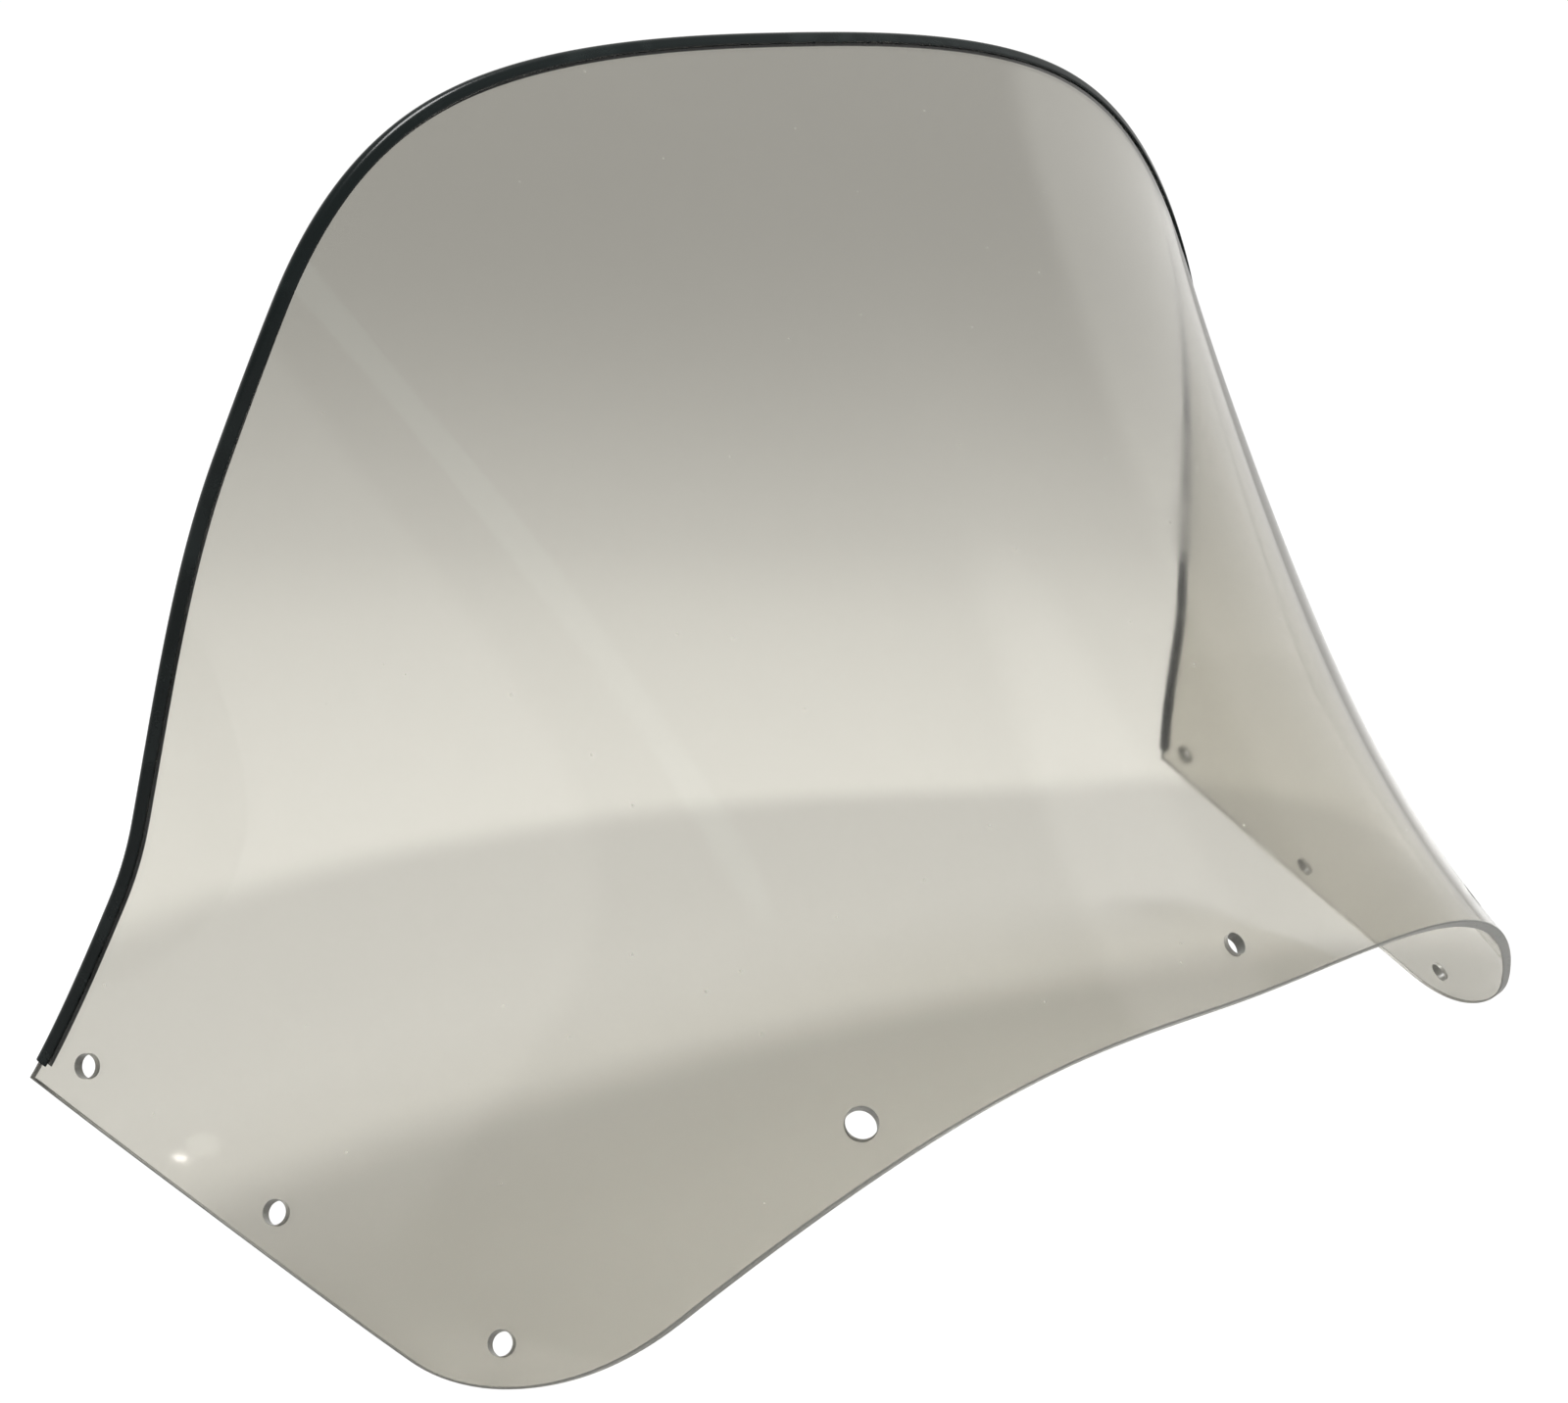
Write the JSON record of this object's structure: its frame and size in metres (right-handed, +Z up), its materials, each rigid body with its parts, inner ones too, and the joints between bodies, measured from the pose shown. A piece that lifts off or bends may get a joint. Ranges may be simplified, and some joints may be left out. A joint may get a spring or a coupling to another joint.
{
  "type": "windshield screen",
  "caption": "Tinted clear motorcycle windshield screen, a formed wrap-around sheet with flared lower lobes, screw holes and a black edge trim.",
  "frame": {"origin": "centre of the middle screw hole, halfway through the sheet", "axes": "the pose it is mounted in: +X across, a mirror axis; +Y to the rear, the rider's side; +Z up"},
  "size_m": [0.5952, 0.2584, 0.3818],
  "materials": {
    "tinted_acrylic": "polished, light smoke tint",
    "black_trim": "glossy black"
  },
  "bodies": {
    "root": {"screen_panel": "tinted_acrylic", "edge_trim": "black_trim"}
  },
  "joints": []
}
